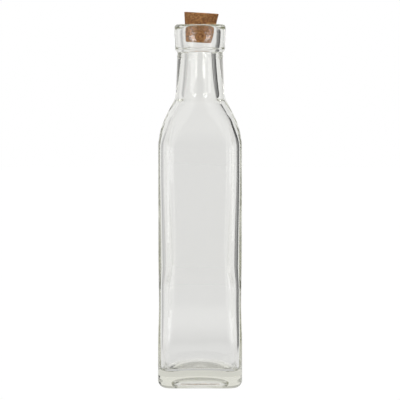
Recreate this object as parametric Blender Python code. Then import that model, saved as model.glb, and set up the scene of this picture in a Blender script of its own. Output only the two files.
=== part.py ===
"""Empty square cruet of clear glass for oil or vinegar, closed by a tapered cork.

Metres, +Z up. The origin is on the table under the middle of the bottle, and the face that the photograph
shows looks towards -Y. Two solids: the blown bottle, open at its mouth, and the cork that leans in the mouth.
"""

import math

import bmesh
import bpy
from mathutils import Matrix

MM = 0.001

# Outside of the body. The flats are a little wider at the foot and draw in to a faint waist above it
BODY_HALF = 29.65 * MM  # half the width across the flats
BODY_CORNER_R = 11.0 * MM  # radius of the four upright edges
WAIST_HALF = 29.22 * MM
WAIST_Z = 60.0 * MM
WAIST_TOP_Z = 97.0 * MM  # the full width is reached again
FOOT_HALF = 29.85 * MM
FOOT_Z = 30.0 * MM  # top of the wider foot
HEEL_R = 5.6 * MM  # rounding between the sides and the base
BEARING_HALF = 22.8 * MM  # middle of the flat ring that the bottle stands on
BEARING_WIDTH = 2.0 * MM
PUSH_UP = 7.2 * MM  # hollow under the base
PUSH_UP_FULLNESS = 0.25  # below 1 the hollow is flat in its middle and steep at its edge
RING_SQUARENESS = 0.7  # how square the hollow is at its edge
RING_CORNER_R = 5.5 * MM  # corners of the bearing ring

# Shoulder and neck
SHOULDER_Z = 169.9 * MM  # where the straight sides end
SHOULDER_R = 52.0 * MM
SHOULDER_SLOPE = math.radians(27.3)  # steepest lean of the shoulder from upright
NECK_FILLET_R = 15.5 * MM
NECK_HALF = 17.28 * MM  # outer radius of the round neck at its foot
NECK_TOP_HALF = 16.25 * MM  # and under the collar
NECK_TOP_Z = 234.2 * MM
NECK_TAPER = math.radians(2.3)  # lean of the neck from upright

# Collar
BEAD_OUT = 0.2 * MM  # thin seam bead that stands out of the neck
BEAD_RISE = 0.5 * MM
GROOVE_HALF = 16.15 * MM
GROOVE_Z = 237.0 * MM  # top of the groove under the collar
COLLAR_BEVEL_R = 2.5 * MM  # soft lower edge of the collar
COLLAR_BEVEL_TURN = 50.0  # degrees
COLLAR_FILLET_R = 2.1 * MM  # between bevel and groove
COLLAR_FOOT_HALF = 17.85 * MM
COLLAR_LOW_HALF = 17.95 * MM
COLLAR_LOW_Z = 246.7 * MM  # the collar swells slightly above this height
COLLAR_HALF = 18.22 * MM
COLLAR_HIGH_Z = 250.2 * MM
RIM_Z = 257.8 * MM  # height of the glass
RIM_R = 2.4 * MM  # outer edge of the rim

# Bore
MOUTH_R = 12.5 * MM  # below the flare that opens to the rim
FLARE_WIDTH = 3.2 * MM
FLARE_DEPTH = 7.0 * MM
SEAT_R = 11.6 * MM  # foot of the wide mouth that takes the cork
SEAT_Z = 240.8 * MM
BORE_R = 9.3 * MM  # narrowest, under the collar
BORE_Z = 237.3 * MM
NECK_MIDDLE_BORE_R = 9.95 * MM
NECK_MIDDLE_Z = 221.8 * MM

# Thickness of the glass
NECK_FOOT_WALL = 5.8 * MM
SHOULDER_WALL = 4.6 * MM
WALL = 3.4 * MM  # side walls
SETTLE = 1.1 * MM  # thicker band that blowing left round the walls
SETTLE_FOOT_Z = 69.0 * MM
SETTLE_PEAK_Z = 88.0 * MM
SETTLE_FADE_Z = 158.0 * MM

# Inside of the foot: walls round into a shallow gutter, and the floor rises from it to its middle
INNER_CORNER_R = 8.5 * MM
FOOT_INNER_CORNER_R = 6.5 * MM
FOOT_INNER_Z = 20.0 * MM  # the corners widen from here up to the waist
FILLET_R = 2.0 * MM
GUTTER_R = 6.0 * MM
GUTTER_Z = 13.2 * MM  # lowest line of the floor, in the middle of a side
GUTTER_TURN = 40.0  # steepest rise of the floor, in degrees
FLOOR_PEAK_Z = 18.5 * MM
FLOOR_CORNER_SHARE = 0.25  # how fast the corners tighten towards the gutter
FLOOR_CORNER_DROP = 2.5 * MM  # the floor lies lower in its corners

# Cork
CORK_TOP_R = 12.3 * MM
CORK_FOOT_R = 9.05 * MM
CORK_LENGTH = 21.3 * MM
CORK_EDGE = 0.35 * MM  # worn edge at both ends
CORK_TOP_X = 1.05 * MM  # middle of the cork's top, from the bottle's axis
CORK_TOP_Z = 265.9 * MM
CORK_LEAN = math.radians(3.5)  # towards +X
CORK_SKEW = math.radians(2.5)  # the cork's axis is cut out of square with its ends
CORK_SIDES = 56

# How finely the bottle is divided
FLAT_STEP = 10.0  # degrees round the axis, on the flats
CORNER_STEP = 3.75  # and round the upright edges
CORNER_FROM = 30.0  # degrees from the middle of a flat to the closer steps
SHARP_ANGLE = math.radians(35)


def ease(value, low, high):
    """0 below low, 1 above high, and a smooth rise between."""
    t = min(1.0, max(0.0, (value - low) / (high - low)))
    return t * t * (3 - 2 * t)


def spread(start, end, steps):
    """Even values from start to end, the start left out."""
    return [start + (end - start) * (i + 1) / steps for i in range(steps)]


def arc(centre, radius, start, end, steps):
    """Points (half width, height) on an arc, its ends included. Angles are from +half width, in degrees."""
    points = []
    for i in range(steps + 1):
        angle = math.radians(start + (end - start) * i / steps)
        points.append((centre[0] + radius * math.cos(angle), centre[1] + radius * math.sin(angle)))
    return points


def ring_angles():
    """Directions round the axis, in degrees: wide steps on the flats and close ones at the corners."""
    flat_steps = round(CORNER_FROM / FLAT_STEP)
    corner_steps = round((90.0 - 2 * CORNER_FROM) / CORNER_STEP)
    quarter = [FLAT_STEP * i for i in range(-flat_steps, flat_steps)]
    quarter += [CORNER_FROM + CORNER_STEP * i for i in range(corner_steps)]
    return [side * 90.0 + angle for side in range(4) for angle in quarter]


def rounded_square_reach(angle, half, corner_r):
    """Distance from the axis to a rounded square's outline in the given direction."""
    c = abs(math.cos(angle))
    s = abs(math.sin(angle))
    c, s = max(c, s), min(c, s)
    straight = half - corner_r
    if half * s / c <= straight:
        return half / c
    along = straight * (c + s)
    return along + math.sqrt(along**2 - 2 * straight**2 + corner_r**2)


def ring_points(station):
    """One ring of points. A station is (height, half width, corner radius, drop of the corners)."""
    height, half, corner_r, drop = station
    diagonal = rounded_square_reach(math.pi / 4, half, corner_r)
    points = []
    for degrees in ring_angles():
        angle = math.radians(degrees)
        reach = rounded_square_reach(angle, half, corner_r)
        share = (reach - half) / (diagonal - half) if drop else 0.0
        points.append((reach * math.cos(angle), reach * math.sin(angle), height - drop * share))
    return points


def round_stations(profile):
    """Stations for a round stretch, from (half width, height) pairs."""
    return [(height, half, half, 0.0) for half, height in profile]


def side_half(height):
    """Half width of the body's flats, with the wider foot and the faint waist above it."""
    waist = (WAIST_HALF - FOOT_HALF) * ease(height, FOOT_Z, WAIST_Z)
    return FOOT_HALF + waist + (BODY_HALF - WAIST_HALF) * ease(height, WAIST_Z, WAIST_TOP_Z)


def shoulder_profile():
    """(half width, height) from the top of the straight side to the foot of the neck."""
    swell_inward = SHOULDER_R * (1 - math.cos(SHOULDER_SLOPE))
    fillet_inward = NECK_FILLET_R * (math.cos(NECK_TAPER) - math.cos(SHOULDER_SLOPE))
    straight_inward = BODY_HALF - swell_inward - fillet_inward - NECK_HALF
    slope = math.degrees(SHOULDER_SLOPE)
    swell = arc((BODY_HALF - SHOULDER_R, SHOULDER_Z), SHOULDER_R, 0, slope, 8)
    foot_half = BODY_HALF - swell_inward - straight_inward
    foot_z = swell[-1][1] + straight_inward / math.tan(SHOULDER_SLOPE)
    centre = (
        foot_half + NECK_FILLET_R * math.cos(SHOULDER_SLOPE),
        foot_z + NECK_FILLET_R * math.sin(SHOULDER_SLOPE),
    )
    return swell + arc(centre, NECK_FILLET_R, 180 + slope, 180 + math.degrees(NECK_TAPER), 5)


neck_foot_z = shoulder_profile()[-1][1]


def round_share(height):
    """How far the section has turned from the body's rounded square (0) into the neck's circle (1)."""
    return ease(height, SHOULDER_Z, neck_foot_z)


def wall_at(height):
    """Thickness of the glass, with the thicker band round the walls and the heavier shoulder and neck foot."""
    band = ease(height, SETTLE_FOOT_Z, SETTLE_PEAK_Z) * (1 - ease(height, SETTLE_PEAK_Z, SETTLE_FADE_Z))
    middle = (SHOULDER_Z + neck_foot_z) / 2
    shoulder = (SHOULDER_WALL - WALL) * ease(height, SHOULDER_Z, middle)
    neck_foot = (NECK_FOOT_WALL - SHOULDER_WALL) * ease(height, middle, neck_foot_z)
    return WALL + SETTLE * band + shoulder + neck_foot


def inner_corner_at(height):
    """Radius of the body's upright edges on the inside."""
    return INNER_CORNER_R + (FOOT_INNER_CORNER_R - INNER_CORNER_R) * (1 - ease(height, FOOT_INNER_Z, WAIST_Z))


def underside_stations():
    """From the middle of the hollow under the base out to the bearing ring."""
    inner = BEARING_HALF - BEARING_WIDTH / 2
    stations = []
    for share in (0.3, 0.6, 0.8, 0.92, 0.98):
        corner = inner * share * (1 - RING_SQUARENESS * share)
        stations.append((PUSH_UP * (1 - share**2) ** PUSH_UP_FULLNESS, inner * share, corner, 0.0))
    stations.append((0.0, inner, RING_CORNER_R, 0.0))
    return stations


def side_stations():
    """Heel, sides and shoulder, from the bottom up."""
    stations = []
    for half, height in arc((FOOT_HALF - HEEL_R, HEEL_R), HEEL_R, 270, 360, 5):
        stations.append((height, half, BODY_CORNER_R - (FOOT_HALF - half), 0.0))
    heights = [FOOT_Z] + spread(FOOT_Z, WAIST_Z, 4) + spread(WAIST_Z, WAIST_TOP_Z, 4)
    stations += [(height, side_half(height), BODY_CORNER_R, 0.0) for height in heights]
    for half, height in shoulder_profile():
        stations.append((height, half, BODY_CORNER_R + (half - BODY_CORNER_R) * round_share(height), 0.0))
    return stations


def collar_stations():
    """Top of the neck, seam bead and collar, up to the flat of the rim. All round."""
    bead_half = NECK_TOP_HALF + BEAD_OUT
    bead_z = NECK_TOP_Z + 2 * BEAD_RISE
    profile = [
        (NECK_TOP_HALF, NECK_TOP_Z),
        (bead_half, bead_z - BEAD_RISE),
        (bead_half, bead_z),
        (GROOVE_HALF, bead_z + BEAD_RISE),
    ]
    turn = math.radians(COLLAR_BEVEL_TURN)
    fillet = arc((GROOVE_HALF + COLLAR_FILLET_R, GROOVE_Z), COLLAR_FILLET_R, 180, 180 - COLLAR_BEVEL_TURN, 3)
    bevel_half, bevel_z = fillet[-1]
    slant = COLLAR_FOOT_HALF - COLLAR_BEVEL_R * (1 - math.cos(turn)) - bevel_half
    bevel_centre = (
        COLLAR_FOOT_HALF - COLLAR_BEVEL_R,
        bevel_z + slant / math.tan(turn) + COLLAR_BEVEL_R * math.sin(turn),
    )
    profile += fillet
    profile += arc(bevel_centre, COLLAR_BEVEL_R, -COLLAR_BEVEL_TURN, 0, 4)
    profile += [(COLLAR_LOW_HALF, COLLAR_LOW_Z), (COLLAR_HALF, COLLAR_HIGH_Z)]
    profile += arc((COLLAR_HALF - RIM_R, RIM_Z - RIM_R), RIM_R, 0, 90, 5)
    return round_stations(profile)


def bore_stations():
    """The flare inside the rim, the wide mouth for the cork and the bore of the neck. All round."""
    flare = arc((1, 0), 1, 90, 180, 6)
    profile = [(MOUTH_R + FLARE_WIDTH * across, RIM_Z - FLARE_DEPTH * (1 - up)) for across, up in flare]
    profile += [(SEAT_R, SEAT_Z), (BORE_R, BORE_Z), (NECK_MIDDLE_BORE_R, NECK_MIDDLE_Z)]
    return round_stations(profile)


def inside_stations():
    """Inner shoulder and walls, from the foot of the neck down."""
    stations = []
    for half, height in reversed(shoulder_profile()):
        inner = half - wall_at(height)
        stations.append((height, inner, INNER_CORNER_R + (inner - INNER_CORNER_R) * round_share(height), 0.0))
    heights = [SETTLE_FADE_Z] + spread(SETTLE_FADE_Z, SETTLE_PEAK_Z, 5) + spread(SETTLE_PEAK_Z, SETTLE_FOOT_Z, 4)
    heights += spread(SETTLE_FOOT_Z, FOOT_INNER_Z, 5)
    for height in heights:
        stations.append((height, side_half(height) - wall_at(height), inner_corner_at(height), 0.0))
    return stations


def floor_stations():
    """Rounding at the foot of the inner walls, the gutter and the floor, which is highest in its middle."""
    foot_half = FOOT_HALF - WALL
    profile = arc((foot_half - FILLET_R, GUTTER_Z + FILLET_R), FILLET_R, 0, -90, 5)
    profile += arc((foot_half - FILLET_R, GUTTER_Z + GUTTER_R), GUTTER_R, -90, -90 - GUTTER_TURN, 3)[1:]
    edge_half, edge_z = profile[-1]
    stations = []
    for half, height in profile:
        share = (foot_half - half) / (foot_half - edge_half)
        corner = FOOT_INNER_CORNER_R - (foot_half - half) * FLOOR_CORNER_SHARE
        stations.append((height, half, corner, FLOOR_CORNER_DROP * share))
    edge_corner = stations[-1][2]
    rise = FLOOR_PEAK_Z - edge_z
    fullness = math.tan(math.radians(GUTTER_TURN)) * edge_half / rise
    for share in (0.9, 0.78, 0.64, 0.48, 0.3, 0.14):
        half = edge_half * share
        corner = half + (edge_corner - edge_half) * share**2
        stations.append((FLOOR_PEAK_Z - rise * share**fullness, half, corner, FLOOR_CORNER_DROP * share**3))
    return stations


def plain_material(name, colour, roughness, transmission):
    material = bpy.data.materials.new(name)
    material.use_nodes = True
    shader = material.node_tree.nodes["Principled BSDF"]
    shader.inputs["Base Color"].default_value = (*colour, 1)
    shader.inputs["Roughness"].default_value = roughness
    shader.inputs["Metallic"].default_value = 0.0
    shader.inputs["Transmission Weight"].default_value = transmission
    shader.inputs["IOR"].default_value = 1.5
    return material


def new_object(name, builder, material):
    """An object from a filled bmesh, shaded smooth with its sharp edges kept."""
    mesh = bpy.data.meshes.new(name)
    builder.to_mesh(mesh)
    builder.free()
    mesh.shade_smooth()
    mesh.set_sharp_from_angle(angle=SHARP_ANGLE)
    mesh.materials.append(material)
    made = bpy.data.objects.new(name, mesh)
    bpy.context.scene.collection.objects.link(made)
    return made


def close_ring(builder, ring, height, faces_up):
    """Fills a ring with triangles that meet on the axis."""
    centre = builder.verts.new((0, 0, height))
    for i, vertex in enumerate(ring):
        following = ring[(i + 1) % len(ring)]
        builder.faces.new((centre, vertex, following) if faces_up else (centre, following, vertex))


def make_bottle():
    """The glass as one skin: up the outside from the base, over the rim and down the inside to the floor."""
    stations = underside_stations() + side_stations() + collar_stations()
    stations += bore_stations() + inside_stations() + floor_stations()
    builder = bmesh.new()
    rings = [[builder.verts.new(point) for point in ring_points(station)] for station in stations]
    for ring, following in zip(rings, rings[1:]):
        for i in range(len(ring)):
            j = (i + 1) % len(ring)
            builder.faces.new((ring[i], ring[j], following[j], following[i]))
    close_ring(builder, rings[0], PUSH_UP, faces_up=False)
    close_ring(builder, rings[-1], FLOOR_PEAK_Z, faces_up=True)
    return new_object("bottle", builder, plain_material("clear_glass", (0.86, 0.88, 0.85), 0.03, 1.0))


def make_cork():
    """A tapered round cork with lightly worn edges, cut a little out of square and leaning in the mouth."""
    builder = bmesh.new()
    bmesh.ops.create_cone(
        builder,
        cap_ends=True,
        segments=CORK_SIDES,
        radius1=CORK_FOOT_R,
        radius2=CORK_TOP_R,
        depth=CORK_LENGTH,
    )
    end_edges = [e for e in builder.edges if abs(e.verts[0].co.z - e.verts[1].co.z) < CORK_EDGE]
    bmesh.ops.bevel(builder, geom=end_edges, offset=CORK_EDGE, segments=2, affect="EDGES", profile=0.5)
    skew = Matrix.Identity(4)
    skew[0][2] = math.tan(CORK_SKEW)
    seat = Matrix.Translation((CORK_TOP_X, 0, CORK_TOP_Z)) @ Matrix.Rotation(CORK_LEAN, 4, "Y")
    top_at_origin = Matrix.Translation((0, 0, -CORK_LENGTH / 2))
    bmesh.ops.transform(builder, matrix=seat @ skew @ top_at_origin, verts=builder.verts)
    return new_object("cork", builder, plain_material("natural_cork", (0.37, 0.2, 0.085), 0.85, 0.0))


for old in list(bpy.data.objects):
    bpy.data.objects.remove(old)
make_bottle()
make_cork()
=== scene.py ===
"""Looks of an empty square oil and vinegar cruet: the glass bottle and the cork that leans in its mouth."""
import math

import bpy
from mathutils import Matrix, Vector


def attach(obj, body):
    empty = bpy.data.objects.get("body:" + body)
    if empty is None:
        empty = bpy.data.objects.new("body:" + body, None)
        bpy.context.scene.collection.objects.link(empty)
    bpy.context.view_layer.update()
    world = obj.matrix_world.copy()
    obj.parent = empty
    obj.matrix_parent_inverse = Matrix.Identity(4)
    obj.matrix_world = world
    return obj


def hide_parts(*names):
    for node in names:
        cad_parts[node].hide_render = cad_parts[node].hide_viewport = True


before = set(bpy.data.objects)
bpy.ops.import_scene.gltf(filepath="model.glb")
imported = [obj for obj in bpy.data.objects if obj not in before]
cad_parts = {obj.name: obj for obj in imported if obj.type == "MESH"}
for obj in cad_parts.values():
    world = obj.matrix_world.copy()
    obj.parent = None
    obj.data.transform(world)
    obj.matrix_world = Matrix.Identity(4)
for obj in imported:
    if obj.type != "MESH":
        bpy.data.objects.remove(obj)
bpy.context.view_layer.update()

# The bottle. Clear soda glass blown in a square mould, with a pressed collar: heavy base, four flat sides
# with rounded edges, sloping shoulder and round neck. The walls have a thicker band at mid height.
MM = 0.001
BODY_HALF = 29.65 * MM
BODY_CORNER_R = 11.0 * MM
WAIST_HALF = 29.22 * MM
WAIST_Z = 60.0 * MM
WAIST_TOP_Z = 97.0 * MM
FOOT_HALF = 29.85 * MM
FOOT_Z = 30.0 * MM
HEEL_R = 5.6 * MM
BEARING_HALF = 22.8 * MM
BEARING_WIDTH = 2.0 * MM
PUSH_UP = 7.2 * MM
PUSH_UP_FULLNESS = 0.25
RING_SQUARENESS = 0.7
RING_CORNER_R = 5.5 * MM
SHOULDER_Z = 169.9 * MM
SHOULDER_R = 52.0 * MM
SHOULDER_SLOPE = math.radians(27.3)
NECK_FILLET_R = 15.5 * MM
NECK_HALF = 17.28 * MM
NECK_TOP_HALF = 16.25 * MM
NECK_TOP_Z = 234.2 * MM
NECK_TAPER = math.radians(2.3)
BEAD_OUT = 0.2 * MM
BEAD_RISE = 0.5 * MM
GROOVE_HALF = 16.15 * MM
GROOVE_Z = 237.0 * MM
COLLAR_BEVEL_R = 2.5 * MM
COLLAR_BEVEL_TURN = 50.0
COLLAR_FILLET_R = 2.1 * MM
COLLAR_FOOT_HALF = 17.85 * MM
COLLAR_LOW_HALF = 17.95 * MM
COLLAR_LOW_Z = 246.7 * MM
COLLAR_HALF = 18.22 * MM
COLLAR_HIGH_Z = 250.2 * MM
RIM_Z = 257.8 * MM
RIM_R = 2.4 * MM
MOUTH_R = 12.5 * MM
FLARE_WIDTH = 3.2 * MM
FLARE_DEPTH = 7.0 * MM
SEAT_R = 11.6 * MM
SEAT_Z = 240.8 * MM
BORE_R = 9.3 * MM
BORE_Z = 237.3 * MM
NECK_MIDDLE_BORE_R = 9.95 * MM
NECK_MIDDLE_Z = 221.8 * MM
NECK_FOOT_WALL = 5.8 * MM
SHOULDER_WALL = 4.6 * MM
WALL = 3.4 * MM
SETTLE = 1.1 * MM
SETTLE_FOOT_Z = 69.0 * MM
SETTLE_PEAK_Z = 88.0 * MM
SETTLE_FADE_Z = 158.0 * MM
INNER_CORNER_R = 8.5 * MM
FOOT_INNER_CORNER_R = 6.5 * MM
FOOT_INNER_Z = 20.0 * MM
FILLET_R = 2.0 * MM
GUTTER_R = 6.0 * MM
GUTTER_Z = 13.2 * MM
GUTTER_TURN = 40.0
FLOOR_PEAK_Z = 18.5 * MM
FLOOR_CORNER_SHARE = 0.25
FLOOR_CORNER_DROP = 2.5 * MM
WAVE = 0.12 * MM
WAVE_SCALE = 45.0
WAVE_FADE_R = 4.0 * MM
PROFILE_STEP = 1.5 * MM
BEAD_STEP = 0.15 * MM
COLLAR_STEP = 0.5 * MM
INNER_MARK_STEP = 4.0 * MM
UNDERSIDE_STEPS = 16
HEEL_STEPS = 14
SHOULDER_STEPS = 20
INNER_SHOULDER_STEPS = 6
COLLAR_ARC_STEPS = 8
RIM_STEPS = 12
FLARE_STEPS = 14
FILLET_STEPS = 16
GUTTER_STEPS = 8
FLOOR_STEPS = 25
RING_POINTS = 208
CORNER_COUNT = 4.0
CORNER_CROWDING = 0.15
WELD = 0.001 * MM


def ease(value, low, high):
    """0 below low, 1 above high, and a smooth rise between."""
    t = min(1.0, max(0.0, (value - low) / (high - low)))
    return t * t * (3 - 2 * t)


def arc(centre, radius, start, end, steps):
    """(half width, height) points on an arc, ends included. Angles from +half width, in degrees."""
    points = []
    for i in range(steps + 1):
        angle = math.radians(start + (end - start) * i / steps)
        points.append((centre[0] + radius * math.cos(angle), centre[1] + radius * math.sin(angle)))
    return points


def between(start, end, step):
    """Points on a straight run, its start included and its end left out."""
    count = max(1, round(math.dist(start, end) / step))
    return [tuple(a + (b - a) * i / count for a, b in zip(start, end)) for i in range(count)]


def smooth_through(points, step):
    """Points of a smooth curve through the given ones, at about even steps."""
    least_share = 0.2
    padded = [points[0]] + list(points) + [points[-1]]
    made = []
    for p0, p1, p2, p3 in zip(padded, padded[1:], padded[2:], padded[3:]):
        span = math.dist(p1[:2], p2[:2])
        before = max(math.dist(p0[:2], p1[:2]), least_share * span)
        after = max(math.dist(p2[:2], p3[:2]), least_share * span)
        count = max(1, round(span / step))
        lean1 = [((b - a) * span + (c - b) * before) / (before + span) for a, b, c in zip(p0, p1, p2)]
        lean2 = [((c - b) * after + (d - c) * span) / (after + span) for b, c, d in zip(p1, p2, p3)]
        for i in range(count):
            t = i / count
            h1, h2 = 2 * t**3 - 3 * t**2 + 1, -2 * t**3 + 3 * t**2
            g1, g2 = t**3 - 2 * t**2 + t, t**3 - t**2
            parts = zip(p1, p2, lean1, lean2)
            made.append(tuple(h1 * b + h2 * c + g1 * u + g2 * v for b, c, u, v in parts))
    return made + [tuple(points[-1])]


def shoulder_profile(steps):
    """(half width, height) from the top of the straight side to the foot of the neck."""
    swell_inward = SHOULDER_R * (1 - math.cos(SHOULDER_SLOPE))
    fillet_inward = NECK_FILLET_R * (math.cos(NECK_TAPER) - math.cos(SHOULDER_SLOPE))
    straight_inward = BODY_HALF - swell_inward - fillet_inward - NECK_HALF
    slope = math.degrees(SHOULDER_SLOPE)
    swell = arc((BODY_HALF - SHOULDER_R, SHOULDER_Z), SHOULDER_R, 0, slope, steps)
    foot_half = BODY_HALF - swell_inward - straight_inward
    foot_z = swell[-1][1] + straight_inward / math.tan(SHOULDER_SLOPE)
    centre = (
        foot_half + NECK_FILLET_R * math.cos(SHOULDER_SLOPE),
        foot_z + NECK_FILLET_R * math.sin(SHOULDER_SLOPE),
    )
    return swell + arc(centre, NECK_FILLET_R, 180 + slope, 180 + math.degrees(NECK_TAPER), steps)


neck_foot_z = shoulder_profile(SHOULDER_STEPS)[-1][1]


def round_share(height):
    """How far the section has turned from the body's rounded square (0) into the neck's circle (1)."""
    return ease(height, SHOULDER_Z, neck_foot_z)


def side_half(height):
    """Half width of the body's flats, with the wider foot and the faint waist above it."""
    waist = (WAIST_HALF - FOOT_HALF) * ease(height, FOOT_Z, WAIST_Z)
    return FOOT_HALF + waist + (BODY_HALF - WAIST_HALF) * ease(height, WAIST_Z, WAIST_TOP_Z)


def wall_at(height):
    """Thickness of the glass, with the band round the walls and the heavier shoulder and neck foot."""
    band = ease(height, SETTLE_FOOT_Z, SETTLE_PEAK_Z) * (1 - ease(height, SETTLE_PEAK_Z, SETTLE_FADE_Z))
    middle = (SHOULDER_Z + neck_foot_z) / 2
    shoulder = (SHOULDER_WALL - WALL) * ease(height, SHOULDER_Z, middle)
    neck_foot = (NECK_FOOT_WALL - SHOULDER_WALL) * ease(height, middle, neck_foot_z)
    return WALL + SETTLE * band + shoulder + neck_foot


def inner_corner_at(height):
    """Radius of the body's upright edges on the inside."""
    foot_share = 1 - ease(height, FOOT_INNER_Z, WAIST_Z)
    return INNER_CORNER_R + (FOOT_INNER_CORNER_R - INNER_CORNER_R) * foot_share


def outside_profile():
    """(half width, height, corner radius) from the middle of the hollow base up to the flat of the rim."""
    ring_half = BEARING_HALF - BEARING_WIDTH / 2
    profile = []
    for i in range(UNDERSIDE_STEPS):
        share = i / UNDERSIDE_STEPS
        half = ring_half * share
        height = PUSH_UP * (1 - share**2) ** PUSH_UP_FULLNESS
        profile.append((half, height, half * (1 - RING_SQUARENESS * share)))
    bearing = between((ring_half, 0), (FOOT_HALF - HEEL_R, 0), MM)
    profile += [(half, 0.0, RING_CORNER_R) for half, _ in bearing]
    for half, height in arc((FOOT_HALF - HEEL_R, HEEL_R), HEEL_R, 270, 360, HEEL_STEPS):
        profile.append((half, height, BODY_CORNER_R - (FOOT_HALF - half)))
    for _, height in between((0, HEEL_R), (0, SHOULDER_Z), 2 * PROFILE_STEP)[1:]:
        profile.append((side_half(height), height, BODY_CORNER_R))
    for half, height in shoulder_profile(SHOULDER_STEPS):
        profile.append((half, height, BODY_CORNER_R + (half - BODY_CORNER_R) * round_share(height)))
    bead_half = NECK_TOP_HALF + BEAD_OUT
    bead_z = NECK_TOP_Z + BEAD_RISE
    turn = math.radians(COLLAR_BEVEL_TURN)
    fillet_centre = (GROOVE_HALF + COLLAR_FILLET_R, GROOVE_Z)
    fillet = arc(fillet_centre, COLLAR_FILLET_R, 180, 180 - COLLAR_BEVEL_TURN, COLLAR_ARC_STEPS)
    bevel_half, bevel_z = fillet[-1]
    slant = COLLAR_FOOT_HALF - COLLAR_BEVEL_R * (1 - math.cos(turn)) - bevel_half
    bevel_centre = (
        COLLAR_FOOT_HALF - COLLAR_BEVEL_R,
        bevel_z + slant / math.tan(turn) + COLLAR_BEVEL_R * math.sin(turn),
    )
    bevel = arc(bevel_centre, COLLAR_BEVEL_R, -COLLAR_BEVEL_TURN, 0, COLLAR_ARC_STEPS)
    neck_foot = profile[-1][:2]
    collar = between(neck_foot, (NECK_TOP_HALF, NECK_TOP_Z), PROFILE_STEP)[1:]
    collar += smooth_through(
        [
            (NECK_TOP_HALF, NECK_TOP_Z),
            (bead_half, bead_z),
            (bead_half, bead_z + BEAD_RISE),
            (GROOVE_HALF, bead_z + 2 * BEAD_RISE),
        ],
        BEAD_STEP,
    )
    collar += fillet + bevel
    collar += smooth_through(
        [
            (COLLAR_FOOT_HALF, bevel[-1][1] + MM),
            (COLLAR_LOW_HALF, COLLAR_LOW_Z),
            (COLLAR_HALF, COLLAR_HIGH_Z),
            (COLLAR_HALF, RIM_Z - RIM_R - MM),
        ],
        COLLAR_STEP,
    )
    collar += arc((COLLAR_HALF - RIM_R, RIM_Z - RIM_R), RIM_R, 0, 90, RIM_STEPS)
    return profile + [(half, height, half) for half, height in collar]


def inside_profile():
    """(half width, height, corner radius, drop of the corners) from the rim down to the floor's middle."""
    flare = arc((1, 0), 1, 90, 180, FLARE_STEPS)
    profile = []
    for across, up in flare[:-1]:
        half = MOUTH_R + FLARE_WIDTH * across
        profile.append((half, RIM_Z - FLARE_DEPTH * (1 - up), half))
    marks = [
        (MOUTH_R, RIM_Z - FLARE_DEPTH),
        (SEAT_R, SEAT_Z),
        (BORE_R, BORE_Z),
        (NECK_MIDDLE_BORE_R, NECK_MIDDLE_Z),
    ]
    marks = [(half, height, half) for half, height in marks]
    for half, height in reversed(shoulder_profile(INNER_SHOULDER_STEPS)):
        inner = half - wall_at(height)
        marks.append((inner, height, INNER_CORNER_R + (inner - INNER_CORNER_R) * round_share(height)))
    for _, height in between((0, SHOULDER_Z), (0, GUTTER_Z + FILLET_R), INNER_MARK_STEP)[1:]:
        marks.append((side_half(height) - wall_at(height), height, inner_corner_at(height)))
    profile += smooth_through(marks, PROFILE_STEP)
    profile = [(*point, 0.0) for point in profile]
    foot_half = FOOT_HALF - WALL
    low_half = foot_half - FILLET_R
    gutter = arc((low_half, GUTTER_Z + FILLET_R), FILLET_R, 0, -90, FILLET_STEPS)
    gutter += arc((low_half, GUTTER_Z + GUTTER_R), GUTTER_R, -90, -90 - GUTTER_TURN, GUTTER_STEPS)[1:]
    edge_half, edge_z = gutter[-1]
    for half, height in gutter:
        share = (foot_half - half) / (foot_half - edge_half)
        corner = FOOT_INNER_CORNER_R - (foot_half - half) * FLOOR_CORNER_SHARE
        profile.append((half, height, corner, FLOOR_CORNER_DROP * share))
    edge_corner = profile[-1][2]
    rise = FLOOR_PEAK_Z - edge_z
    fullness = math.tan(math.radians(GUTTER_TURN)) * edge_half / rise
    for i in range(1, FLOOR_STEPS + 1):
        share = 1 - i / FLOOR_STEPS
        half = edge_half * share
        corner = half + (edge_corner - edge_half) * share**2
        profile.append((half, FLOOR_PEAK_Z - rise * share**fullness, corner, FLOOR_CORNER_DROP * share**3))
    return profile


def node(tree, kind, inputs=(), **settings):
    """A node with its settings. inputs maps its sockets to values or to other nodes' outputs."""
    made = tree.nodes.new(kind)
    for name, value in settings.items():
        setattr(made, name, value)
    for key, value in dict(inputs).items():
        if isinstance(value, bpy.types.NodeSocket):
            tree.links.new(value, made.inputs[key])
        else:
            made.inputs[key].default_value = value
    return made


def calc(tree, operation, *values):
    """The result of a Math node on numbers or outputs."""
    return node(tree, "ShaderNodeMath", dict(enumerate(values)), operation=operation).outputs[0]


def new_tree(name, sockets):
    """A geometry tree and its group nodes. sockets lists (name, socket type, value) for its inputs."""
    tree = bpy.data.node_groups.new(name, "GeometryNodeTree")
    tree.interface.new_socket("Geometry", in_out="INPUT", socket_type="NodeSocketGeometry")
    for socket_name, kind, value in sockets:
        made = tree.interface.new_socket(socket_name, in_out="INPUT", socket_type=kind)
        if value is not None:
            made.default_value = value
    tree.interface.new_socket("Geometry", in_out="OUTPUT", socket_type="NodeSocketGeometry")
    return tree, tree.nodes.new("NodeGroupInput"), tree.nodes.new("NodeGroupOutput")


def end_tree(tree, given, result, skin):
    """Ends a geometry tree in Realize Instances and Set Material."""
    skin = node(tree, "GeometryNodeRealizeInstances", {"Geometry": skin}).outputs[0]
    dressed = {"Geometry": skin, "Material": given.outputs["Material"]}
    skin = node(tree, "GeometryNodeSetMaterial", dressed).outputs[0]
    tree.links.new(skin, result.inputs["Geometry"])


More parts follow.
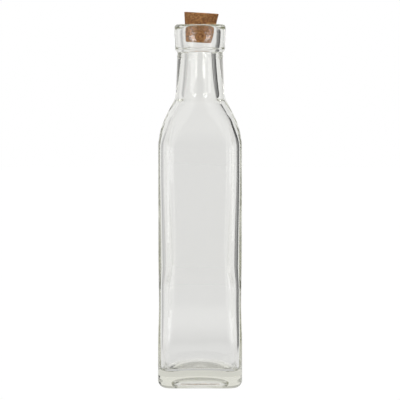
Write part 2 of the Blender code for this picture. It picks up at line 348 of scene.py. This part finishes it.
def finished(source, tree, name, values):
    """A plain mesh object from a mesh and a geometry tree, with the tree's inputs set by name."""
    modifier = source.modifiers.new(tree.name, "NODES")
    modifier.node_group = tree
    for item in tree.interface.items_tree:
        if item.item_type == "SOCKET" and item.in_out == "INPUT" and item.name in values:
            modifier[item.identifier] = values[item.name]
    graph = bpy.context.evaluated_depsgraph_get()
    mesh = bpy.data.meshes.new_from_object(source.evaluated_get(graph))
    source.modifiers.remove(modifier)
    bpy.data.objects.remove(source)
    mesh.name = name
    made = bpy.data.objects.new(name, mesh)
    bpy.context.scene.collection.objects.link(made)
    return made


def moulded_skin_tree():
    """Turns a profile, with its points at (half width, 0, height), into a skin of rounded-square rings.

    Corner crowding draws the points of a ring towards the corners, and the waves fade near the axis.
    """
    tree, given, result = new_tree(
        "moulded_skin",
        [
            ("Ring points", "NodeSocketInt", RING_POINTS),
            ("Corner crowding", "NodeSocketFloat", CORNER_CROWDING),
            ("Wave depth", "NodeSocketFloat", 0.0),
            ("Wave scale", "NodeSocketFloat", WAVE_SCALE),
            ("Weld distance", "NodeSocketFloat", WELD),
            ("Material", "NodeSocketMaterial", None),
        ],
    )
    counted = node(tree, "GeometryNodeAttributeDomainSize", {0: given.outputs["Geometry"]})
    stations = counted.outputs["Point Count"]
    grid = node(
        tree,
        "GeometryNodeMeshGrid",
        {
            "Size X": 1.0,
            "Size Y": 1.0,
            "Vertices X": stations,
            "Vertices Y": calc(tree, "ADD", given.outputs["Ring points"], 1),
        },
    ).outputs["Mesh"]
    position = node(tree, "GeometryNodeInputPosition").outputs[0]
    place = node(tree, "ShaderNodeSeparateXYZ", {0: position}).outputs
    last = calc(tree, "SUBTRACT", stations, 1)
    station = calc(tree, "ROUND", calc(tree, "MULTIPLY", calc(tree, "ADD", place["X"], 0.5), last))
    even = calc(tree, "MULTIPLY", calc(tree, "ADD", place["Y"], 0.5), -2 * math.pi)
    swing = calc(tree, "SINE", calc(tree, "MULTIPLY", even, CORNER_COUNT))
    closer = calc(tree, "MULTIPLY", swing, given.outputs["Corner crowding"])
    angle = calc(tree, "ADD", even, closer)

    def at_station(data_type, value):
        kind = "GeometryNodeSampleIndex"
        inputs = {"Geometry": given.outputs["Geometry"], "Value": value, "Index": station}
        return node(tree, kind, inputs, data_type=data_type, domain="POINT").outputs["Value"]

    def stored(name):
        made = node(tree, "GeometryNodeInputNamedAttribute", {"Name": name}, data_type="FLOAT")
        return made.outputs["Attribute"]

    profile = node(
        tree,
        "ShaderNodeSeparateXYZ",
        {0: at_station("FLOAT_VECTOR", position)},
    ).outputs
    half, height = profile["X"], profile["Z"]
    corner = at_station("FLOAT", stored("corner"))
    drop = at_station("FLOAT", stored("drop"))
    waved = at_station("FLOAT", stored("waved"))

    cosine, sine = calc(tree, "COSINE", angle), calc(tree, "SINE", angle)
    wide = calc(tree, "MAXIMUM", calc(tree, "ABSOLUTE", cosine), calc(tree, "ABSOLUTE", sine))
    narrow = calc(tree, "MINIMUM", calc(tree, "ABSOLUTE", cosine), calc(tree, "ABSOLUTE", sine))

    def reach(wide, narrow):
        """Distance from the axis to the rounded square, on its flat or on its corner."""
        straight = calc(tree, "SUBTRACT", half, corner)
        flat = calc(tree, "DIVIDE", half, wide)
        along = calc(tree, "MULTIPLY", straight, calc(tree, "ADD", wide, narrow))
        lost = calc(tree, "MULTIPLY", calc(tree, "MULTIPLY", straight, straight), 2.0)
        inner = calc(tree, "SUBTRACT", calc(tree, "MULTIPLY", along, along), lost)
        inner = calc(tree, "MAXIMUM", calc(tree, "ADD", inner, calc(tree, "MULTIPLY", corner, corner)), 0.0)
        turned = calc(tree, "ADD", along, calc(tree, "SQRT", inner))
        on_flat = calc(tree, "LESS_THAN", calc(tree, "MULTIPLY", flat, narrow), straight)
        picked = node(tree, "ShaderNodeMix", {"Factor": on_flat, "A": turned, "B": flat}, data_type="FLOAT")
        return picked.outputs["Result"]

    distance = reach(wide, narrow)
    diagonal = reach(math.sqrt(0.5), math.sqrt(0.5))
    spare = calc(tree, "MAXIMUM", calc(tree, "SUBTRACT", diagonal, half), WELD)
    corner_share = calc(tree, "DIVIDE", calc(tree, "SUBTRACT", distance, half), spare)
    lowered = calc(tree, "SUBTRACT", height, calc(tree, "MULTIPLY", corner_share, drop))

    ring_place = node(
        tree,
        "ShaderNodeCombineXYZ",
        {
            "X": calc(tree, "MULTIPLY", distance, cosine),
            "Y": calc(tree, "MULTIPLY", distance, sine),
            "Z": lowered,
        },
    ).outputs[0]
    ripple = node(
        tree,
        "ShaderNodeTexNoise",
        {"Vector": ring_place, "Scale": given.outputs["Wave scale"], "Detail": 1.0, "Roughness": 0.4},
    ).outputs[0]
    depth = calc(tree, "MULTIPLY", calc(tree, "MULTIPLY", ripple, given.outputs["Wave depth"]), waved)
    width = calc(tree, "MAXIMUM", distance, WAVE_FADE_R)
    keep = calc(tree, "SUBTRACT", 1.0, calc(tree, "DIVIDE", depth, width))
    squeeze = node(tree, "ShaderNodeCombineXYZ", {"X": keep, "Y": keep, "Z": 1.0}).outputs[0]
    settled = node(
        tree, "ShaderNodeVectorMath", {0: ring_place, 1: squeeze}, operation="MULTIPLY"
    ).outputs[0]
    skin = node(tree, "GeometryNodeSetPosition", {"Geometry": grid, "Position": settled}).outputs[0]
    weld = {"Geometry": skin, "Distance": given.outputs["Weld distance"]}
    skin = node(tree, "GeometryNodeMergeByDistance", weld).outputs[0]
    skin = node(tree, "GeometryNodeSetShadeSmooth", {"Geometry": skin, "Shade Smooth": True}).outputs[0]
    end_tree(tree, given, result, skin)
    return tree


def new_material(name):
    """A material with its tree and its Principled BSDF."""
    material = bpy.data.materials.new(name)
    material.use_nodes = True
    return material, material.node_tree, material.node_tree.nodes["Principled BSDF"]


glass, glass_tree, glass_shader = new_material("clear_glass")
glass_shader.inputs["Base Color"].default_value = (0.97, 0.97, 0.965, 1)
glass_shader.inputs["Roughness"].default_value = 0.0
glass_shader.inputs["Metallic"].default_value = 0.0
glass_shader.inputs["IOR"].default_value = 1.52
glass_shader.inputs["Transmission Weight"].default_value = 1.0
absorption = node(glass_tree, "ShaderNodeVolumeAbsorption", {"Color": (0.5, 0.5, 0.22, 1), "Density": 6.0})
glass_tree.links.new(absorption.outputs[0], glass_tree.nodes["Material Output"].inputs["Volume"])
glass_place = node(glass_tree, "ShaderNodeTexCoord").outputs["Object"]
swirl = {"Vector": glass_place, "Scale": 55.0, "Detail": 1.0}
swirl = node(glass_tree, "ShaderNodeTexNoise", swirl).outputs[0]
glass_bump = node(glass_tree, "ShaderNodeBump", {"Strength": 0.2, "Distance": 0.02 * MM, "Height": swirl})
glass_tree.links.new(glass_bump.outputs["Normal"], glass_shader.inputs["Normal"])

skin_tree = moulded_skin_tree()


def lofted(name, profile, values):
    """A closed skin from (half width, height, corner radius, drop of the corners, share of the waves)."""
    mesh = bpy.data.meshes.new(name + "_profile")
    mesh.from_pydata([(half, 0, height) for half, height, *_ in profile], [], [])
    for column, attribute in ((2, "corner"), (3, "drop"), (4, "waved")):
        layer = mesh.attributes.new(attribute, "FLOAT", "POINT")
        layer.data.foreach_set("value", [point[column] for point in profile])
    source = bpy.data.objects.new(name + "_profile", mesh)
    bpy.context.scene.collection.objects.link(source)
    return finished(source, skin_tree, name, values)


bottle = lofted(
    "bottle_glass",
    [(*point, 0.0, 0.0) for point in outside_profile()] + [(*point, 1.0) for point in inside_profile()],
    {"Ring points": RING_POINTS, "Wave depth": WAVE, "Material": glass},
)
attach(bottle, "root")
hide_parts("bottle")

# The cork. A tapered stopper punched from natural cork, dry, with worn ends, fine grain and a few dark
# pits. The real one only rests in the mouth, leaning to one side; nothing fixes it. Above the rim its
# colour is darkened with painted shade.
CORK_TOP_R = 12.3 * MM
CORK_FOOT_R = 9.05 * MM
CORK_LENGTH = 21.3 * MM
CORK_EDGE_R = 0.35 * MM
CORK_TOP_X = 1.05 * MM
CORK_TOP_Z = 265.9 * MM
CORK_LEAN = math.radians(3.5)
CORK_SKEW = math.radians(2.5)
CORK_STEP = 0.25 * MM
CORK_EDGE_STEPS = 4
CORK_RING_POINTS = 288
GRAIN_STRETCH = (1, 1, 1.7)
CELL_SHARE = 0.6
BARK_BROWN = (0.68, 0.26, 0.08, 1)
BARK_GOLD = (1.0, 0.55, 0.22, 1)
SPECK_BROWN = (0.16, 0.053, 0.017, 1)
SPECK_STRENGTH = 0.8
GROOVE_BROWN = (0.2, 0.08, 0.025, 1)
GROOVE_STRENGTH = 0.4
PIT_BROWN = (0.07, 0.025, 0.009, 1)
PIT_STRENGTH = 0.9
PAINTED_SHADE_BROWN = (0.02, 0.012, 0.006, 1)
PAINTED_SHADE_STRENGTH = 0.44


def cork_profile():
    """Round stations for the skin, from the middle of the foot to the middle of the top."""
    low, high = -CORK_LENGTH + CORK_EDGE_R, -CORK_EDGE_R
    points = between((0, -CORK_LENGTH), (CORK_FOOT_R - CORK_EDGE_R, -CORK_LENGTH), CORK_STEP)
    points += arc((CORK_FOOT_R - CORK_EDGE_R, low), CORK_EDGE_R, -90, 0, CORK_EDGE_STEPS)
    points += between((CORK_FOOT_R, low), (CORK_TOP_R, high), CORK_STEP)[1:]
    points += arc((CORK_TOP_R - CORK_EDGE_R, high), CORK_EDGE_R, 0, 90, CORK_EDGE_STEPS)
    points += between((CORK_TOP_R - CORK_EDGE_R, 0), (0, 0), CORK_STEP)[1:] + [(0, 0)]
    return [(half, height, half, 0.0, 0.0) for half, height in points]


def eased(tree, value, low, high, at_low, at_high):
    """A smooth change from one level to another while a value goes from low to high."""
    ends = {"Value": value, "From Min": low, "From Max": high, "To Min": at_low, "To Max": at_high}
    return node(tree, "ShaderNodeMapRange", ends, interpolation_type="SMOOTHSTEP").outputs["Result"]


def cork_bark_tree():
    """Sinks grain lines and pits into a skin and stores their strengths for the material."""
    tree, given, result = new_tree(
        "cork_bark",
        [
            ("Grain scale", "NodeSocketFloat", 800.0),
            ("Grain depth", "NodeSocketFloat", 0.06 * MM),
            ("Grain width", "NodeSocketFloat", 0.2),
            ("Pit scale", "NodeSocketFloat", 330.0),
            ("Pit threshold", "NodeSocketFloat", 0.62),
            ("Pit softness", "NodeSocketFloat", 0.08),
            ("Pit depth", "NodeSocketFloat", 0.4 * MM),
            ("Material", "NodeSocketMaterial", None),
        ],
    )
    place = node(tree, "GeometryNodeInputPosition").outputs[0]
    stretch = {0: place, 1: GRAIN_STRETCH}
    across = node(tree, "ShaderNodeVectorMath", stretch, operation="MULTIPLY").outputs[0]
    pit_noise = node(
        tree,
        "ShaderNodeTexNoise",
        {"Vector": across, "Scale": given.outputs["Pit scale"], "Detail": 3.0, "Roughness": 0.6},
    ).outputs[0]
    pit_full = calc(tree, "ADD", given.outputs["Pit threshold"], given.outputs["Pit softness"])
    pit = eased(tree, pit_noise, given.outputs["Pit threshold"], pit_full, 0.0, 1.0)
    cells = {"Vector": across, "Scale": given.outputs["Grain scale"]}
    edge = node(tree, "ShaderNodeTexVoronoi", cells, feature="DISTANCE_TO_EDGE").outputs["Distance"]
    groove_ends = {"Value": edge, "From Max": given.outputs["Grain width"], "To Min": 1.0, "To Max": 0.0}
    groove = node(tree, "ShaderNodeMapRange", groove_ends).outputs["Result"]
    tone = node(tree, "ShaderNodeTexVoronoi", cells, feature="F1").outputs["Color"]
    tone = node(tree, "ShaderNodeSeparateXYZ", {0: tone}).outputs["X"]
    depth = calc(
        tree,
        "ADD",
        calc(tree, "MULTIPLY", pit, given.outputs["Pit depth"]),
        calc(tree, "MULTIPLY", groove, given.outputs["Grain depth"]),
    )
    sink = node(
        tree,
        "ShaderNodeVectorMath",
        {0: node(tree, "GeometryNodeInputNormal").outputs[0], "Scale": calc(tree, "MULTIPLY", depth, -1.0)},
        operation="SCALE",
    ).outputs[0]
    skin = given.outputs["Geometry"]
    for name, value in (("pit", pit), ("groove", groove), ("tone", tone)):
        inputs = {"Geometry": skin, "Name": name, "Value": value}
        kept = node(tree, "GeometryNodeStoreNamedAttribute", inputs, data_type="FLOAT", domain="POINT")
        skin = kept.outputs[0]
    skin = node(tree, "GeometryNodeSetPosition", {"Geometry": skin, "Offset": sink}).outputs[0]
    end_tree(tree, given, result, skin)
    return tree


def mixed(tree, factor, first, second):
    """A colour between two others. A Mix node's colours are its inputs 6 and 7 and its output 2."""
    return node(tree, "ShaderNodeMix", {0: factor, 6: first, 7: second}, data_type="RGBA").outputs[2]


cork_material, cork_tree, cork_shader = new_material("cork_grain")
stored = {
    name: node(cork_tree, "ShaderNodeAttribute", attribute_name=name).outputs["Fac"]
    for name in ("pit", "groove", "tone")
}
object_place = node(cork_tree, "ShaderNodeTexCoord").outputs["Object"]
fine = {"Vector": object_place, "Scale": 900.0, "Detail": 4.0, "Roughness": 0.75}
fine_grain = node(cork_tree, "ShaderNodeTexNoise", fine).outputs[0]
cloud = {"Vector": object_place, "Scale": 160.0, "Detail": 2.0}
cloud = node(cork_tree, "ShaderNodeTexNoise", cloud).outputs[0]
cells = calc(cork_tree, "MULTIPLY", stored["tone"], CELL_SHARE)
shade = calc(cork_tree, "ADD", cells, calc(cork_tree, "MULTIPLY", cloud, 1 - CELL_SHARE))
bark = mixed(cork_tree, shade, BARK_BROWN, BARK_GOLD)
speck = node(cork_tree, "ShaderNodeMapRange", {"Value": fine_grain, "From Min": 0.44, "From Max": 0.56})
speck = calc(cork_tree, "MULTIPLY", speck.outputs["Result"], SPECK_STRENGTH)
bark = mixed(cork_tree, speck, bark, SPECK_BROWN)
bark = mixed(cork_tree, calc(cork_tree, "MULTIPLY", stored["groove"], GROOVE_STRENGTH), bark, GROOVE_BROWN)
bark = mixed(cork_tree, calc(cork_tree, "MULTIPLY", stored["pit"], PIT_STRENGTH), bark, PIT_BROWN)
# Painted shade: the cork's colour is darkened above the rim, where it stands out of the glass.
cork_height = node(cork_tree, "ShaderNodeSeparateXYZ", {0: object_place}).outputs["Z"]
painted_shade = eased(cork_tree, cork_height, RIM_Z - MM, RIM_Z + MM, 0.0, PAINTED_SHADE_STRENGTH)
bark = mixed(cork_tree, painted_shade, bark, PAINTED_SHADE_BROWN)
cork_tree.links.new(bark, cork_shader.inputs["Base Color"])
cork_shader.inputs["Roughness"].default_value = 0.92
cork_shader.inputs["Specular IOR Level"].default_value = 0.25
fine_bump = node(cork_tree, "ShaderNodeBump", {"Strength": 0.5, "Distance": 0.1 * MM, "Height": fine_grain})
cork_tree.links.new(fine_bump.outputs["Normal"], cork_shader.inputs["Normal"])

cork_values = {"Ring points": CORK_RING_POINTS, "Wave depth": 0.0, "Material": cork_material}
cork_blank = lofted("cork_blank", cork_profile(), cork_values)
cork = finished(cork_blank, cork_bark_tree(), "cork_stopper", {"Material": cork_material})
skew = Matrix.Identity(4)
skew[0][2] = math.tan(CORK_SKEW)
seat = Matrix.Translation((CORK_TOP_X, 0, CORK_TOP_Z)) @ Matrix.Rotation(CORK_LEAN, 4, "Y")
cork.data.transform(seat @ skew)
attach(cork, "root")
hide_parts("cork")

# Floor, light and camera. A bright backdrop stands behind the bottle and the room in front of it is dim,
# as in a product studio. The camera sees the floor and the backdrop as plain white.
BACKDROP = 0.9
# A fall has the two directions between which the light drops, and the share left beyond them. A flag has
# its direction, its width and the share that it holds back. Directions are in degrees from the backdrop's
# middle.
FALLS = [(38.0, 42.0, 0.72), (150.0, 166.0, 0.16)]
FLAGS = [(44.0, 16.0, 0.97), (60.0, 14.0, 0.7), (75.0, 10.0, 0.6), (-54.0, 10.0, 0.25)]
FLAG_BLUR = 1.5
FLOOR_HALF = 4.0
# The floor glows at these levels for rays other than the camera's; the lower level under the bottle is a
# painted shadow.
TABLE = 0.78
TABLE_R = 0.28
PAINTED_SHADOW_UNDER_BOTTLE = 0.55
UNDER_BOTTLE_R = 20.0 * MM
UNDER_BOTTLE_FADE_R = 60.0 * MM
PANEL_SIZE = (0.36, 0.36)
PANEL_TURNS = (-40, 47)
COLLAR_LAMP_SIZE = (0.068, 0.036)
COLLAR_LAMP_TURNS = (-46, -37, -28, 30.5, 41)
CORK_LAMP_SIZE = (0.09, 0.09)
CORK_LAMP_TURNS = (-25, 25)
FULL_SPREAD = 180.0


def studio_level_tree():
    """Brightness of the surroundings by direction: backdrop, dim room and narrow dark flags."""
    tree = bpy.data.node_groups.new("studio_level", "ShaderNodeTree")
    tree.interface.new_socket("Direction", in_out="INPUT", socket_type="NodeSocketVector")
    tree.interface.new_socket("Backdrop", in_out="INPUT", socket_type="NodeSocketFloat")
    tree.interface.new_socket("Level", in_out="OUTPUT", socket_type="NodeSocketFloat")
    given, result = tree.nodes.new("NodeGroupInput"), tree.nodes.new("NodeGroupOutput")
    direction = node(tree, "ShaderNodeSeparateXYZ", {0: given.outputs["Direction"]}).outputs
    azimuth = calc(tree, "MULTIPLY", calc(tree, "ARCTAN2", direction["X"], direction["Y"]), 180 / math.pi)
    turn = calc(tree, "ABSOLUTE", azimuth)
    level = given.outputs["Backdrop"]
    for start, end, left in FALLS:
        level = calc(tree, "MULTIPLY", level, eased(tree, turn, start, end, 1.0, left))
    for centre, width, depth in FLAGS:
        away = calc(tree, "ABSOLUTE", calc(tree, "SUBTRACT", azimuth, centre))
        inner, outer = width / 2 - FLAG_BLUR, width / 2 + FLAG_BLUR
        level = calc(tree, "MULTIPLY", level, eased(tree, away, inner, outer, 1 - depth, 1.0))
    tree.links.new(level, result.inputs["Level"])
    return tree


studio_level = studio_level_tree()


def surroundings(tree, direction):
    """The studio group's level in a material's or the world's tree."""
    group = node(tree, "ShaderNodeGroup", node_tree=studio_level)
    tree.links.new(direction, group.inputs["Direction"])
    group.inputs["Backdrop"].default_value = BACKDROP
    return group.outputs["Level"]


floor_mesh = bpy.data.meshes.new("floor")
floor_corners = [(FLOOR_HALF * x, FLOOR_HALF * y, 0) for x, y in ((-1, -1), (1, -1), (1, 1), (-1, 1))]
floor_mesh.from_pydata(floor_corners, [], [(0, 1, 2, 3)])
floor = bpy.data.objects.new("floor", floor_mesh)
bpy.context.scene.collection.objects.link(floor)
floor_material, floor_tree, floor_shader = new_material("pale_floor")
floor_shader.inputs["Base Color"].default_value = (0.01, 0.01, 0.01, 1)
floor_shader.inputs["Roughness"].default_value = 1.0
floor_shader.inputs["Specular IOR Level"].default_value = 0.0
floor_mesh.materials.append(floor_material)
floor_place = node(floor_tree, "ShaderNodeTexCoord").outputs["Object"]
floor_reach = node(floor_tree, "ShaderNodeVectorMath", {0: floor_place}, operation="LENGTH")
floor_reach = floor_reach.outputs["Value"]
# Painted shadow: the floor's glow drops under the bottle.
near_glow_with_painted_shadow = eased(floor_tree, floor_reach, UNDER_BOTTLE_R, UNDER_BOTTLE_FADE_R, PAINTED_SHADOW_UNDER_BOTTLE, TABLE)
far = eased(floor_tree, floor_reach, TABLE_R, 2 * TABLE_R, 0.0, 1.0)
levels = {"Factor": far, "A": near_glow_with_painted_shadow, "B": surroundings(floor_tree, floor_place)}
floor_level = node(floor_tree, "ShaderNodeMix", levels, data_type="FLOAT").outputs["Result"]
floor_seen = node(floor_tree, "ShaderNodeLightPath").outputs["Is Camera Ray"]
seen_levels = {"Factor": floor_seen, "A": floor_level, "B": 1.0}
floor_glow = node(floor_tree, "ShaderNodeMix", seen_levels, data_type="FLOAT").outputs["Result"]
floor_tree.links.new(floor_glow, floor_shader.inputs["Emission Strength"])
floor_shader.inputs["Emission Color"].default_value = (1, 1, 1, 1)

world = bpy.data.worlds.new("studio")
bpy.context.scene.world = world
world.use_nodes = True
world_tree = world.node_tree
background = world_tree.nodes["Background"]
world_level = surroundings(world_tree, node(world_tree, "ShaderNodeTexCoord").outputs["Generated"])
world_seen = node(world_tree, "ShaderNodeLightPath").outputs["Is Camera Ray"]
seen_levels = {"Factor": world_seen, "A": world_level, "B": 1.0}
strength = node(world_tree, "ShaderNodeMix", seen_levels, data_type="FLOAT").outputs["Result"]
world_tree.links.new(strength, background.inputs["Strength"])
background.inputs["Color"].default_value = (1, 1, 1, 1)


def softbox(name, azimuth, height, distance, size, radiance, target_z, spread=FULL_SPREAD):
    """A rectangular light aimed at a height on the axis. Azimuth, from the camera, and spread in degrees."""
    data = bpy.data.lights.new(name, "AREA")
    data.shape = "RECTANGLE"
    data.size, data.size_y = size
    data.energy = math.pi * size[0] * size[1] * radiance
    if spread < FULL_SPREAD:
        half = math.radians(spread / 2)
        data.spread = 2 * half
        data.energy *= (math.tan(half) - half) / math.tan(half)
    lamp = bpy.data.objects.new(name, data)
    bpy.context.scene.collection.objects.link(lamp)
    turn = math.radians(azimuth)
    lamp.location = (distance * math.sin(turn), -distance * math.cos(turn), height)
    facing = lamp.location - Vector((0, 0, target_z))
    lamp.rotation_euler = facing.to_track_quat("Z", "Y").to_euler()


for name, turn in zip(("left_panel", "right_panel"), PANEL_TURNS):
    softbox(name, turn, height=0.2, distance=1.4, size=PANEL_SIZE, radiance=2.0, target_z=0.2)
softbox("top_light", 180, height=1.5, distance=0.1, size=(1.0, 0.6), radiance=0.8, target_z=0.25)
for i, turn in enumerate(COLLAR_LAMP_TURNS):
    place = {"height": 0.187, "distance": 0.4, "size": COLLAR_LAMP_SIZE}
    softbox("collar_lamp_%d" % i, turn, **place, radiance=9.0, target_z=COLLAR_LOW_Z, spread=20.0)
for i, turn in enumerate(CORK_LAMP_TURNS):
    place = {"height": 0.42, "distance": 0.4, "size": CORK_LAMP_SIZE}
    softbox("cork_lamp_%d" % i, turn, **place, radiance=58.0, target_z=COLLAR_HIGH_Z, spread=12.0)

BOUNCES = 48
CAMERA_DISTANCE = 2.3
CAMERA_HEIGHT = 0.245
VIEW_WIDTH = 285.6 * MM
VIEW_CENTRE = Vector((-0.05 * MM, 0, 132.5 * MM))
camera_data = bpy.data.cameras.new("camera")
camera = bpy.data.objects.new("camera", camera_data)
bpy.context.scene.collection.objects.link(camera)
camera.location = (VIEW_CENTRE.x, -CAMERA_DISTANCE, CAMERA_HEIGHT)
sight = VIEW_CENTRE - camera.location
camera.rotation_euler = sight.to_track_quat("-Z", "Y").to_euler()
camera_data.lens = camera_data.sensor_width * sight.length / VIEW_WIDTH
bpy.context.scene.camera = camera
bpy.context.scene.view_settings.view_transform = "Standard"
bpy.context.scene.cycles.max_bounces = BOUNCES
bpy.context.scene.cycles.transmission_bounces = BOUNCES
bpy.context.scene.cycles.glossy_bounces = BOUNCES
